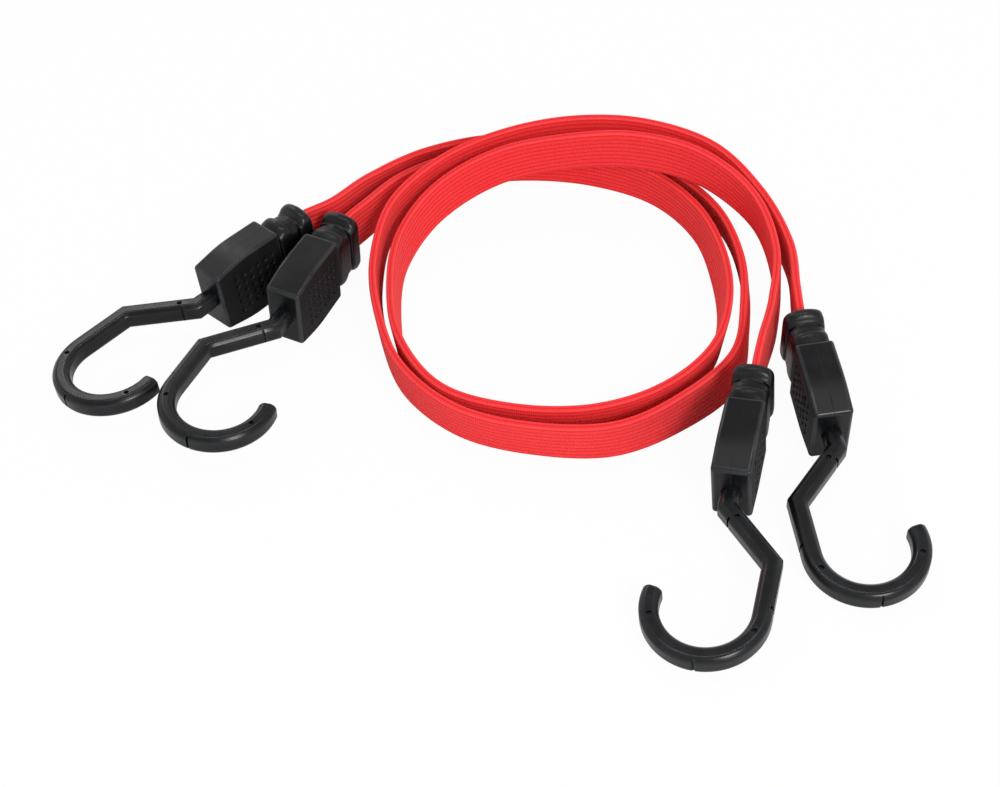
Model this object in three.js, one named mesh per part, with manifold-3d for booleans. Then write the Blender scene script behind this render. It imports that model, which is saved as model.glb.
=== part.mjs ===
// A pair of flat elastic bungee cords, coiled together, with a swivel hook at each of the
// four ends. Millimetres, +Z up, the front towards -Y. The cords lie on a table at z = 0,
// and the origin is on the table under the middle of the box round the four fittings.
//
// Each fitting has a frame of its own: the origin at the middle of the neck face, +X out
// along the hook's turning axis, +Z up the broad side. The strap comes in from -X.
import * as THREE from "three";
import { mergeVertices } from "three/addons/utils/BufferGeometryUtils.js";
import Module from "manifold-3d";

const wasm = await Module();
wasm.setup();

const degree = Math.PI / 180;

// Clearances
const fitGap = 0.3; // between pieces that are clamped or moulded together
const runningGap = 0.5; // round the hook's neck and its stop, which turn
const cutOverrun = 1; // how far a cut runs past the face that it opens
const weldDistance = fitGap / 1000; // corners nearer than this are one corner

// Elastic strap
const strapWidth = 18;
const strapThickness = 3;
const strapEdge = 0.9; // rounding of its long edges
const ringsPerStep = 2; // rings between two points of the route

// Steel clip that is crimped over the strap's end
const clipSheet = 1;
const clipLength = 9.2;
const clipMargin = 0.9; // how far it stands past each edge of the strap

// Boot: a sleeve whose tongue and flange are held in the housing
const tongueWallBroad = 1.8; // wall on the strap's broad side
const tongueWallEdge = 0.9; // wall at the strap's edge
const flangeLip = 1.2;
const flangeThickness = 2;
const grooveRiseBroad = 2.2; // the groove between the two ribs, over the tongue
const grooveRiseEdge = 0.8;
const ribRiseBroad = 1.2; // the taller rib over the groove
const ribRiseEdge = 1.9;
const sleeveLength = 15.9; // outside the housing
// The two ribs from the housing to the strap: share of the sleeve's length, share of the
// rise on the broad side, share of the rise at the edge
const ribShares = [
  [0, -0.33, 0.1], [0.04, 0.5, 0.26], [0.09, 0.67, 0.47], [0.19, 0.67, 0.84],
  [0.27, 0.67, 0.92], [0.34, 0.67, 0.68], [0.385, 0.67, 0], [0.53, 0.5, 0],
  [0.56, 0, 0], [0.615, 0, 0], [0.65, 0.83, 0], [0.685, 1, 0.05],
  [0.77, 1, 0.95], [0.875, 1, 1], [0.95, 0.58, 0.63], [1, -0.83, -0.2],
];
// One quarter of a rib's outline: share of the half thickness, share of the half height
const ribOutlineShares = [[1, 0.68], [0.9, 0.82], [0.6, 0.94], [0.2, 1]];

// Hook: a steel wire inside a moulded cover
const wireRadius = 1.6;
const wireSides = 6;
const wireHeadRadius = 2.6;
const wireHeadThickness = 1.2;
const neckRadius = 3.3;
const armAcross = 6.3; // in the hook's plane
const armHigh = 7.4; // square to the hook's plane
const armChamfer = 1.5;
const neckBend = 6.7; // from the neck face to the first bend
const kinkReach = 25.5; // from the neck face to the second bend
const bowlReach = 45.7; // from the neck face to the middle of the bowl
const bowlRadius = 17.6; // to the middle of the section
const bowlStep = 12 * degree;
const wireBowlSteps = 15;
const coverEndAngle = 101 * degree;
const tipLength = 1.3;
// Rounded tip: share of its length, share of the arm's section
const tipShares = [[0.55, 0.86], [1, 0.55]];
const pinWidth = 1.8; // holes left by the pins that held the wire in the mould
const pinDepth = 0.6;
const armPinReach = 10.9;
const bowlPinAngles = [-68 * degree, 70 * degree];
const notchWidth = 0.9; // slots across the flanks, where the mould's slides met
const notchDepth = 0.7;
const armNotchReach = 10.2;
const bowlNotchSetback = 2.9; // of the slot that comes before the bowl

// Stop: a steel collar on the wire, behind the neck wall
const stopRadius = 4.4;
const stopLength = 4.7;
const roundSides = 16;

// Housing: two shells that meet on the middle plane
const shellWall = 1.6; // over the boot's flange, on the broad side
const shellEdgeWall = 1.8; // over the boot's flange, at its edge
const shellEdge = 1; // rounding of the outside edges
const neckWall = 4;
const middleWeb = 2;
const slotWall = 2.2;
const collarWall = 2.6;
const bendReach = 12.5; // from the neck face to the tallest place
const bendRise = 0.6; // the tallest place over the collar, on each edge
const neckDrop = 1.7; // the neck face under the collar, on each edge

// Grip dots on the housing's broad sides
const dotWidth = 2;
const dotDepth = 0.7;
const dotPitchAlong = 3.4;
const dotPitchAcross = 3.45;
const dotColumns = 6;
const dotRows = 5;
const dotReach = 8.1; // from the neck face to the first column
const endDotLength = 3.2; // the first column's two end dots are slots

// Sizes that follow
const strapHalfThickness = strapThickness / 2;
const strapHalfWidth = strapWidth / 2;
const tongueHalfY = strapHalfThickness + fitGap + tongueWallBroad;
const tongueHalfZ = strapHalfWidth + fitGap + tongueWallEdge;
const flangeHalfY = tongueHalfY + flangeLip;
const flangeHalfZ = tongueHalfZ + flangeLip;
const clipHalfY = strapHalfThickness + fitGap + clipSheet;
const clipHalfZ = strapHalfWidth + clipMargin;
const stopRoomLength = stopLength + wireHeadThickness + 3 * fitGap;
const clipRoomLength = clipLength + 2 * fitGap;
const flangeRoomLength = flangeThickness + 2 * fitGap;
const stopRoomEnd = neckWall + stopRoomLength;
const clipRoomStart = stopRoomEnd + middleWeb;
const clipRoomEnd = clipRoomStart + clipRoomLength;
const flangeRoomStart = clipRoomEnd + slotWall;
const flangeRoomEnd = flangeRoomStart + flangeRoomLength;
const housingLength = flangeRoomEnd + collarWall;
const housingHalfY = flangeHalfY + fitGap + shellWall;
const collarHalfZ = flangeHalfZ + fitGap + shellEdgeWall;
const bendHalfZ = collarHalfZ + bendRise;
const neckHalfZ = collarHalfZ - neckDrop;
const strapEnd = clipRoomStart + fitGap + clipSheet + fitGap;
const armSlant = Math.atan2(-bowlRadius, kinkReach - neckBend);

// Where the four fittings lie on the table: the middle of the neck face, the way that the
// neck points, nose up or down, lean to the side, and the hook's turn on its axis. The rear
// left one lies beside the front left one, boot by boot, and is turned until the two bowls
// lie side by side as well.
const bootsApart = 2.576; // between the two left boots, at their middles
const hooksApart = 1.714; // between the two left hooks, at their bowls
const rearLeftLead = 4.076; // how far the rear left boot lies ahead of the front left one
const bootMiddle = housingLength + fitGap + sleeveLength / 2;
const bootStep = 2 * (tongueHalfY + grooveRiseBroad + ribRiseBroad) + bootsApart;
const hookStep = 2 * bowlRadius + armAcross + hooksApart;
const leftSpread = Math.asin((hookStep - bootStep) / (bootMiddle + bowlReach)) / degree;
const frontLeft = { x: -77, y: 25, yaw: -114.5, pitch: -2, roll: -1, hookTurn: 0 };
const fittings = {
  rear_left: { ...besideFrontLeft(frontLeft.yaw - leftSpread), pitch: -4, roll: 4, hookTurn: 0 },
  front_left: frontLeft,
  front_right: { x: 75, y: -59, yaw: -104.5, pitch: -6.5, roll: 5, hookTurn: 180 },
  rear_right: { x: 111, y: -32.5, yaw: -82.5, pitch: -7, roll: 4, hookTurn: 0 },
};

// The two straps' routes between their fittings: x, y, height of the middle, and the lean
// of the strap's width in degrees, with its top outwards where it is positive
const leadStep = 15; // between the points on the straight lead behind each housing
const leadPoints = 2;
const routes = {
  rear: {
    from: "rear_left",
    to: "rear_right",
    points: [
      [-62, 78, 16, 0], [-50, 98.5, 12.5, -11], [-31, 118, 10, -19], [-6, 129, 9, -23],
      [21, 129, 9, -26], [47, 121, 9, -27], [69.5, 105.5, 9, -23], [84, 83, 9.5, -18],
      [89.5, 56, 9.5, -11], [88, 29, 9.5, -7], [82, 2.5, 9.5, -7], [63, -17.5, 9.5, 0],
      [39, -31, 9.5, 8], [11.5, -31, 9.5, 12], [-14, -22.5, 9.5, 12], [-33, -3, 9.5, 9],
      [-42, 22.5, 9.5, 8], [-45.5, 49.5, 11.5, 5], [-40.5, 76.5, 16.5, -2], [-22.5, 97, 21.5, -7],
      [2, 108, 26, -8], [28.5, 111.5, 29.5, -9], [55.5, 107.5, 31, -9], [81, 97.5, 27.5, -9],
      [97.5, 76.5, 22, -7], [105.5, 51, 19, -6], [105, 26.5, 20, -5],
    ],
  },
  front: {
    from: "front_left",
    to: "front_right",
    points: [
      [-50.5, 78.5, 14.5, -2], [-37.5, 98.5, 12, -5], [-16.5, 114, 10, -7], [9.5, 118.5, 9.5, -10],
      [35.5, 115.5, 9.5, -9], [59, 104, 9.5, -9], [74.5, 83.5, 9.5, -4], [81, 57.5, 9.5, 5],
      [81, 31, 9.5, 7], [73, 6, 9.5, 7], [54.5, -13, 9.5, 9], [30.5, -22.5, 9.5, 12],
      [4, -22, 9.5, 12], [-19.5, -12.5, 9.5, 11], [-34, 10.5, 9.5, 9], [-38.5, 37, 9.5, 8],
      [-36.5, 63.5, 11.5, 5], [-23.5, 85.5, 17, 1], [-1.5, 98.5, 23.5, -6], [24.5, 101.5, 28.5, -10],
      [51, 99.5, 31, -8], [75.5, 90, 30, -8], [94, 73, 24, -8], [100, 48, 19.5, -5],
      [96.5, 21.5, 18, -7], [90, -1.5, 20, -6],
    ],
  },
};

// Finishes
const finishes = {
  hookPlastic: { color: 0x1d1e20, roughness: 0.5, metalness: 0 },
  housingPlastic: { color: 0x202123, roughness: 0.55, metalness: 0 },
  bootRubber: { color: 0x19191b, roughness: 0.65, metalness: 0 },
  elastic: { color: 0xd9242b, roughness: 0.85, metalness: 0 },
  steel: { color: 0xa9acae, roughness: 0.35, metalness: 1 },
};

function towards(yaw) {
  return new THREE.Vector2(Math.cos(yaw * degree), Math.sin(yaw * degree));
}

function besideFrontLeft(yaw) {
  const place = new THREE.Vector2(frontLeft.x, frontLeft.y)
    .addScaledVector(towards(frontLeft.yaw), rearLeftLead - bootMiddle)
    .addScaledVector(towards(frontLeft.yaw - 90), bootStep)
    .addScaledVector(towards(yaw), bootMiddle);
  return { x: place.x, y: place.y, yaw };
}

// Solids for the cuts, from a closed mesh
function toSolid(geometry) {
  const bare = geometry.clone();
  bare.deleteAttribute("normal");
  bare.deleteAttribute("uv");
  const merged = mergeVertices(bare, weldDistance);
  return new wasm.Manifold(new wasm.Mesh({
    numProp: 3,
    vertProperties: new Float32Array(merged.attributes.position.array),
    triVerts: new Uint32Array(merged.index.array),
  }));
}

function toGeometry(solid) {
  const mesh = solid.getMesh();
  const geometry = new THREE.BufferGeometry();
  geometry.setAttribute("position", new THREE.BufferAttribute(mesh.vertProperties, 3));
  geometry.setIndex(new THREE.BufferAttribute(mesh.triVerts, 1));
  return geometry;
}

// A closed skin over a row of rings, each counter-clockwise about the way that they run
function loft(rings) {
  const sides = rings[0].length;
  const last = (rings.length - 1) * sides;
  const index = [];
  for (let start = 0; start < last; start += sides) {
    for (let side = 0; side < sides; side++) {
      const next = (side + 1) % sides;
      const across = start + next + sides;
      index.push(start + side, start + next, across);
      index.push(start + side, across, start + side + sides);
    }
  }
  for (let side = 1; side < sides - 1; side++) {
    index.push(0, side + 1, side);
    index.push(last, last + side, last + side + 1);
  }
  const geometry = new THREE.BufferGeometry();
  geometry.setFromPoints(rings.flat());
  geometry.setIndex(index);
  return geometry;
}

// A box between two distances behind the neck face, centred on the strap
function block(start, end, halfY, halfZ) {
  const box = new THREE.BoxGeometry(end - start, 2 * halfY, 2 * halfZ);
  return toSolid(box.translate(-(start + end) / 2, 0, 0));
}

// A round bar between two distances behind the neck face
function bar(start, end, radius) {
  const round = new THREE.CylinderGeometry(radius, radius, end - start, roundSides);
  return toSolid(round.rotateZ(Math.PI / 2).translate(-(start + end) / 2, 0, 0));
}

// A four-sided pit that opens at z = 0 and narrows to a point at its depth. It starts above
// the surface, so that the cut is clean.
function pit(lengthX, lengthY, depth) {
  const above = depth / 2;
  const grown = (depth + above) / depth;
  const cone = new THREE.ConeGeometry(Math.SQRT1_2, depth + above, 4, 1);
  cone.rotateY(Math.PI / 4).rotateX(-Math.PI / 2);
  cone.scale(lengthX * grown, lengthY * grown, 1);
  return toSolid(cone.translate(0, 0, (above - depth) / 2));
}

function strapClip() {
  const outer = clipRoomStart + fitGap;
  const end = outer + clipLength;
  const outline = new THREE.Shape([
    new THREE.Vector2(-outer, -clipHalfY),
    new THREE.Vector2(-outer, clipHalfY),
    new THREE.Vector2(-end, clipHalfY),
    new THREE.Vector2(-end, clipHalfY - clipSheet),
    new THREE.Vector2(-outer - clipSheet, clipHalfY - clipSheet),
    new THREE.Vector2(-outer - clipSheet, clipSheet - clipHalfY),
    new THREE.Vector2(-end, clipSheet - clipHalfY),
    new THREE.Vector2(-end, -clipHalfY),
  ]);
  const sheet = new THREE.ExtrudeGeometry(outline, { depth: 2 * clipHalfZ, bevelEnabled: false });
  return sheet.translate(0, 0, -clipHalfZ);
}

function ribRing(reach, halfY, halfZ) {
  const back = ribOutlineShares.slice().reverse();
  const quarters = [
    ribOutlineShares.map(([y, z]) => [y, z]),
    back.map(([y, z]) => [-y, z]),
    ribOutlineShares.map(([y, z]) => [-y, -z]),
    back.map(([y, z]) => [y, -z]),
  ];
  return quarters.flat().map(([y, z]) => new THREE.Vector3(-reach, y * halfY, z * halfZ));
}

function boot() {
  const flangeStart = flangeRoomStart + fitGap;
  const flangeEnd = flangeStart + flangeThickness;
  const grooveHalfY = tongueHalfY + grooveRiseBroad;
  const grooveHalfZ = tongueHalfZ + grooveRiseEdge;
  const sleeveStart = housingLength + fitGap;
  const rings = [
    [flangeStart, flangeHalfY, flangeHalfZ],
    [flangeEnd, flangeHalfY, flangeHalfZ],
    [flangeEnd, tongueHalfY, tongueHalfZ],
    [sleeveStart, tongueHalfY, tongueHalfZ],
  ];
  for (const [along, broad, edge] of ribShares) {
    rings.push([
      sleeveStart + along * sleeveLength,
      grooveHalfY + broad * ribRiseBroad,
      grooveHalfZ + edge * ribRiseEdge,
    ]);
  }
  // The rings run backwards from the hook, so they are laid from the strap's side
  const skin = loft(rings.reverse().map(([reach, halfY, halfZ]) => ribRing(reach, halfY, halfZ)));
  const slot = block(
    flangeStart - cutOverrun,
    sleeveStart + sleeveLength + cutOverrun,
    strapHalfThickness + fitGap,
    strapHalfWidth + fitGap,
  );
  return toGeometry(toSolid(skin).subtract(slot));
}

// The grip dots of one broad side, which faces +Y or -Y
function gripDots(side) {
  const dot = pit(dotWidth, dotWidth, dotDepth);
  const endDot = pit(dotWidth, endDotLength, dotDepth);
  const dots = [];
  for (let column = 0; column < dotColumns; column++) {
    for (let row = 0; row < dotRows; row++) {
      const isEnd = column === 0 && (row === 0 || row === dotRows - 1);
      const x = -dotReach - column * dotPitchAlong;
      const z = (row - (dotRows - 1) / 2) * dotPitchAcross;
      const turned = (isEnd ? endDot : dot).rotate([-90 * side, 0, 0]);
      dots.push(turned.translate([x, side * housingHalfY, z]));
    }
  }
  return wasm.Manifold.union(dots);
}

// The whole housing without its parting plane: a six-sided block with rounded edges
function housingBody() {
  const outline = new THREE.Shape([
    new THREE.Vector2(0, -neckHalfZ),
    new THREE.Vector2(0, neckHalfZ),
    new THREE.Vector2(-bendReach, bendHalfZ),
    new THREE.Vector2(-housingLength, collarHalfZ),
    new THREE.Vector2(-housingLength, -collarHalfZ),
    new THREE.Vector2(-bendReach, -bendHalfZ),
  ]);
  const extruded = new THREE.ExtrudeGeometry(outline, {
    depth: 2 * (housingHalfY - shellEdge),
    bevelThickness: shellEdge,
    bevelSize: shellEdge,
    bevelOffset: -shellEdge,
    bevelSegments: 1,
  });
  return toSolid(extruded.translate(0, 0, shellEdge - housingHalfY).rotateX(Math.PI / 2));
}

function housingRooms() {
  return wasm.Manifold.union([
    bar(-cutOverrun, neckWall + cutOverrun, neckRadius + runningGap),
    bar(neckWall, stopRoomEnd, stopRadius + runningGap),
    block(clipRoomStart, clipRoomEnd, clipHalfY + fitGap, clipHalfZ + fitGap),
    block(
      clipRoomEnd - cutOverrun,
      flangeRoomStart + cutOverrun,
      strapHalfThickness + fitGap,
      strapHalfWidth + fitGap,
    ),
    block(flangeRoomStart, flangeRoomEnd, flangeHalfY + fitGap, flangeHalfZ + fitGap),
    block(
      flangeRoomEnd - cutOverrun,
      housingLength + cutOverrun,
      tongueHalfY + fitGap,
      tongueHalfZ + fitGap,
    ),
  ]);
}

// One shell of the housing: the half on the +Y or the -Y side of the parting plane
function housingShell(body, rooms, side) {
  const deep = housingHalfY + cutOverrun;
  const half = block(-cutOverrun, housingLength + cutOverrun, deep / 2, bendHalfZ + cutOverrun)
    .translate([0, side * (deep + fitGap) / 2, 0]);
  return toGeometry(body.intersect(half).subtract(rooms).subtract(gripDots(side)));
}

// Stations along the hook's middle line, from inside the housing to the bowl's last step.
// A station has a place, a heading, and how far a mitre stretches the section.
function hookStations(innerEnd, bowlSteps) {
  const mitre = { heading: armSlant / 2, stretch: 1 / Math.cos(armSlant / 2) };
  const stations = [
    { x: innerEnd, y: 0, heading: 0, stretch: 1 },
    { x: neckBend, y: 0, ...mitre },
    { x: kinkReach, y: -bowlRadius, ...mitre },
  ];
  for (let step = 0; step <= bowlSteps; step++) {
    stations.push(bowlStation(step * bowlStep - Math.PI / 2));
  }
  return stations;
}

// A station on the slanting arm, this far from the neck face
function armStation(x) {
  return { x, y: (x - neckBend) * Math.tan(armSlant), heading: armSlant, stretch: 1 };
}

function bowlStation(angle) {
  return {
    x: bowlReach + bowlRadius * Math.cos(angle),
    y: bowlRadius * Math.sin(angle),
    heading: angle + Math.PI / 2,
    stretch: 1,
  };
}

function stationRing({ x, y, heading, stretch }, section) {
  return section.map(([across, up]) => new THREE.Vector3(
    x - Math.sin(heading) * across * stretch,
    y + Math.cos(heading) * across * stretch,
    up,
  ));
}

function roundSection(radius, sides) {
  const section = [];
  for (let side = 0; side < sides; side++) {
    const angle = (side + 0.5) * 2 * Math.PI / sides;
    section.push([radius * Math.cos(angle), radius * Math.sin(angle)]);
  }
  return section;
}

function armSection(share) {
  const across = share * armAcross / 2;
  const high = share * armHigh / 2;
  const chamfer = share * armChamfer;
  return [
    [across, high - chamfer],
    [across - chamfer, high],
    [chamfer - across, high],
    [-across, high - chamfer],
    [-across, chamfer - high],
    [chamfer - across, -high],
    [across - chamfer, -high],
    [across, chamfer - high],
  ];
}

// The wire's bore runs a gap past the wire's own end, and opens at the neck
function wireBore(innerEnd) {
  const stations = hookStations(innerEnd, wireBowlSteps);
  const end = stations[stations.length - 1];
  stations.push({
    ...end,
    x: end.x + fitGap * Math.cos(end.heading),
    y: end.y + fitGap * Math.sin(end.heading),
  });
  const section = roundSection(wireRadius + fitGap, wireSides);
  return toSolid(loft(stations.map((station) => stationRing(station, section))));
}

// Pin holes on both faces of the hook: one on the slanting arm, two on the bowl
function pinHoles() {
  const stations = [armStation(armPinReach), ...bowlPinAngles.map(bowlStation)];
  const hole = pit(pinWidth, pinWidth, pinDepth);
  const holes = [];
  for (const { x, y } of stations) {
    holes.push(hole.translate([x, y, armHigh / 2]));
    holes.push(hole.rotate([180, 0, 0]).translate([x, y, -armHigh / 2]));
  }
  return wasm.Manifold.union(holes);
}

// Slots across the flanks: one inside the slanting arm, two on the outside of the bowl
function flankNotches() {
  const beforeBowl = { x: bowlReach - bowlNotchSetback, y: -bowlRadius, heading: 0 };
  const places = [[armStation(armNotchReach), 1], [beforeBowl, -1], [bowlStation(0), -1]];
  const deep = notchDepth + cutOverrun;
  const reach = armAcross / 2 + cutOverrun - deep / 2;
  const slot = toSolid(new THREE.BoxGeometry(notchWidth, deep, armHigh + 2 * cutOverrun));
  const notches = places.map(([{ x, y, heading }, side]) =>
    slot.translate([0, side * reach, 0]).rotate([0, 0, heading / degree]).translate([x, y, 0]));
  return wasm.Manifold.union(notches);
}

function hookCover() {
  const innerEnd = -neckWall;
  const [neck, ...arm] = hookStations(innerEnd, wireBowlSteps);
  const end = bowlStation(coverEndAngle);
  const rings = [stationRing(neck, roundSection(neckRadius, armSection(1).length))];
  for (const station of [...arm, end]) {
    rings.push(stationRing(station, armSection(1)));
  }
  for (const [along, share] of tipShares) {
    const tip = {
      ...end,
      x: end.x + along * tipLength * Math.cos(end.heading),
      y: end.y + along * tipLength * Math.sin(end.heading),
    };
    rings.push(stationRing(tip, armSection(share)));
  }
  const hollow = toSolid(loft(rings)).subtract(wireBore(innerEnd - cutOverrun));
  return toGeometry(hollow.subtract(pinHoles()).subtract(flankNotches()));
}

// The wire, with the head that is upset on its inner end behind the stop
function hookCore() {
  const headFront = -(neckWall + fitGap + stopLength + fitGap);
  const headBack = headFront - wireHeadThickness;
  const [start, ...rest] = hookStations(headFront, wireBowlSteps);
  const wire = roundSection(wireRadius, wireSides);
  const head = roundSection(wireHeadRadius, wireSides);
  return loft([
    stationRing({ ...start, x: headBack }, head),
    stationRing(start, head),
    stationRing(start, wire),
    ...rest.map((station) => stationRing(station, wire)),
  ]);
}

function hookStop() {
  const inner = wireRadius + fitGap;
  const outline = [
    new THREE.Vector2(inner, 0),
    new THREE.Vector2(stopRadius, 0),
    new THREE.Vector2(stopRadius, stopLength),
    new THREE.Vector2(inner, stopLength),
    new THREE.Vector2(inner, 0),
  ];
  const collar = new THREE.LatheGeometry(outline, roundSides);
  return collar.rotateZ(Math.PI / 2).translate(-neckWall - fitGap, 0, 0);
}

function piece(name, geometry, finish) {
  const smooth = mergeVertices(geometry.clone());
  smooth.computeVertexNormals();
  const mesh = new THREE.Mesh(smooth, new THREE.MeshStandardMaterial({ ...finish, flatShading: true }));
  mesh.name = name;
  return mesh;
}

// A fitting stands on the lower edge of its housing, at the tallest place
function placeFitting(group, { x, y, yaw, pitch, roll }) {
  group.rotation.set(roll * degree, -pitch * degree, yaw * degree, "ZYX");
  const feet = [-1, 1].map((side) =>
    new THREE.Vector3(-bendReach, side * (housingHalfY - shellEdge), -bendHalfZ)
      .applyEuler(group.rotation).z);
  group.position.set(x, y, -Math.min(...feet));
  group.updateMatrix();
}

function buildFitting(name, place, shapes) {
  const group = new THREE.Group();
  group.add(
    piece(`${name}_housing_half_a`, shapes.shellA, finishes.housingPlastic),
    piece(`${name}_housing_half_b`, shapes.shellB, finishes.housingPlastic),
    piece(`${name}_strap_boot`, shapes.boot, finishes.bootRubber),
    piece(`${name}_strap_clip`, shapes.clip, finishes.steel),
  );
  const hook = new THREE.Group();
  hook.add(
    piece(`${name}_hook_cover`, shapes.cover, finishes.hookPlastic),
    piece(`${name}_hook_wire`, shapes.core, finishes.steel),
    piece(`${name}_hook_stop`, shapes.stop, finishes.steel),
  );
  hook.rotation.x = place.hookTurn * degree;
  group.add(hook);
  placeFitting(group, place);
  return group;
}

// The route's points with its straight leads, from the clip of one fitting to the clip of
// the other, as places and leans
function fullRoute({ from, to, points }, groups) {
  const leads = [strapEnd];
  for (let step = 0; step < leadPoints; step++) {
    leads.push(housingLength + step * leadStep);
  }
  const leadIn = leads.map((reach) => ({
    place: new THREE.Vector3(-reach, 0, 0).applyMatrix4(groups[from].matrix),
    lean: fittings[from].roll,
  }));
  const leadOut = leads.map((reach) => ({
    place: new THREE.Vector3(-reach, 0, 0).applyMatrix4(groups[to].matrix),
    lean: -fittings[to].roll,
  }));
  const free = points.map(([x, y, z, lean]) => ({ place: new THREE.Vector3(x, y, z), lean }));
  return [...leadIn, ...free, ...leadOut.reverse()];
}

// Frames along the strap: its middle, the way it runs, its width and its thickness
function strapFrames(route, steps) {
  const places = new THREE.CatmullRomCurve3(route.map((point) => point.place), false, "catmullrom");
  const leans = new THREE.CatmullRomCurve3(
    route.map((point) => new THREE.Vector3(point.lean, 0, 0)), false, "catmullrom");
  const frames = [];
  const count = steps * (route.length - 1);
  for (let step = 0; step <= count; step++) {
    const share = step / count;
    const along = places.getTangent(share);
    const outward = new THREE.Vector3(-along.y, along.x, 0).normalize();
    const lean = leans.getPoint(share).x * degree;
    const thickness = outward.applyAxisAngle(along, -lean);
    const width = new THREE.Vector3().crossVectors(along, thickness);
    frames.push({ middle: places.getPoint(share), along, thickness, width });
  }
  return frames;
}

function strapSection() {
  return [
    [strapHalfThickness, strapHalfWidth - strapEdge],
    [strapHalfThickness - strapEdge, strapHalfWidth],
    [strapEdge - strapHalfThickness, strapHalfWidth],
    [-strapHalfThickness, strapHalfWidth - strapEdge],
    [-strapHalfThickness, strapEdge - strapHalfWidth],
    [strapEdge - strapHalfThickness, -strapHalfWidth],
    [strapHalfThickness - strapEdge, -strapHalfWidth],
    [strapHalfThickness, strapEdge - strapHalfWidth],
  ];
}

function strapRings(frames) {
  return frames.map(({ middle, thickness, width }) => strapSection().map(([t, w]) =>
    middle.clone().addScaledVector(thickness, t).addScaledVector(width, w)));
}

// The least gap from one strap's surface to another stretch of strap: each point of the
// surface is set against the flat section of every frame that it lies beside
function leastGap(first, second, sameStrap) {
  const apart = 3 * strapWidth;
  const reach = second[0].middle.distanceTo(second[1].middle);
  let least = Infinity;
  const rings = strapRings(first);
  rings.forEach((ring, i) => {
    for (const [j, frame] of second.entries()) {
      if (sameStrap && Math.abs(i - j) * reach < apart) continue;
      if (first[i].middle.distanceTo(frame.middle) > apart) continue;
      for (const point of ring) {
        const offset = point.clone().sub(frame.middle);
        if (Math.abs(offset.dot(frame.along)) > reach) continue;
        const sideways = Math.max(Math.abs(offset.dot(frame.thickness)) - strapHalfThickness, 0);
        const upward = Math.max(Math.abs(offset.dot(frame.width)) - strapHalfWidth, 0);
        least = Math.min(least, Math.hypot(sideways, upward));
      }
    }
  });
  return least;
}

function strapLength(frames) {
  let length = 0;
  for (let i = 1; i < frames.length; i++) {
    length += frames[i].middle.distanceTo(frames[i - 1].middle);
  }
  return length;
}

// The assembly
const wholeHousing = housingBody();
const rooms = housingRooms();
const shapes = {
  shellA: housingShell(wholeHousing, rooms, 1),
  shellB: housingShell(wholeHousing, rooms, -1),
  boot: boot(),
  clip: strapClip(),
  cover: hookCover(),
  core: hookCore(),
  stop: hookStop(),
};

const cordPair = new THREE.Group();
const groups = {};
for (const [name, place] of Object.entries(fittings)) {
  groups[name] = buildFitting(name, place, shapes);
  cordPair.add(groups[name]);
}

const box = new THREE.Box3().setFromObject(cordPair, true);
const middle = box.getCenter(new THREE.Vector3());
cordPair.position.set(-middle.x, -middle.y, -box.min.z);

const fineSteps = 8;
const fine = {};
for (const [name, route] of Object.entries(routes)) {
  const whole = fullRoute(route, groups);
  const rings = strapRings(strapFrames(whole, ringsPerStep));
  cordPair.add(piece(`${name}_cord_strap`, loft(rings), finishes.elastic));
  fine[name] = strapFrames(whole, fineSteps);
  const length = strapLength(fine[name]);
  const ownGap = leastGap(fine[name], fine[name], true);
  console.log(`${name} strap: ${length.toFixed(1)} mm long, ${ownGap.toFixed(2)} mm from itself`);
}
const apart = leastGap(fine.rear, fine.front, false);
console.log(`least gap between the straps ${apart.toFixed(2)} mm`);
const spot = [middle.x, middle.y, box.min.z].map((value) => value.toFixed(3)).join(", ");
console.log(`middle and floor of the layout ${spot}`);

export default cordPair;
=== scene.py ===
# %% [markdown]
# # A pair of flat bungee cords
#
# Two flat elastic cords lie coiled together, with a swivel hook at each of the four ends.
# The imported solids fix where everything is and how the hooks turn. This lesson dresses
# them: ribbed elastic for the straps, moulded black plastic for the hooks and housings,
# soft rubber for the boots, and bare steel for what is inside.
#
# The frame is loaded first.

from math import atan2, ceil, cos, pi, radians, sin, tan

import bmesh
import bpy
import numpy as np
from mathutils import Matrix, Vector


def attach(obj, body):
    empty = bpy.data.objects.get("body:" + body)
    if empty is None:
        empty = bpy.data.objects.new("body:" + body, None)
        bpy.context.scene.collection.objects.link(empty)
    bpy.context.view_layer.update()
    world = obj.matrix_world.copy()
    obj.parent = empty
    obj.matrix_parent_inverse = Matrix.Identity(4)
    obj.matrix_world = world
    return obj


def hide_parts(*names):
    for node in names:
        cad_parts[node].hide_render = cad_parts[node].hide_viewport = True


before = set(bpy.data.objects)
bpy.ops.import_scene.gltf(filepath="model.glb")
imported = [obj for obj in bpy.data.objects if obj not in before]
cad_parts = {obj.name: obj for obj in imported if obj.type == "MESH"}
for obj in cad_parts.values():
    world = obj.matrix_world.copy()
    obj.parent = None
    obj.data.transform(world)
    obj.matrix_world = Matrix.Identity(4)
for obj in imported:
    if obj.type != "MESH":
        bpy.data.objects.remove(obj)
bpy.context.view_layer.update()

# %% [markdown]
# The camera looks down at 45 degrees, straight at the coil, through a long lens, so that
# the far fittings are hardly smaller than the near ones. The view transform stays plain,
# and a colour then renders about as it is written.

# %% Camera
camera_place = Vector((0.009094, -0.432899, 0.4585))
camera_target = Vector((0.009094, 0.025601, 0.0))

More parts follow.
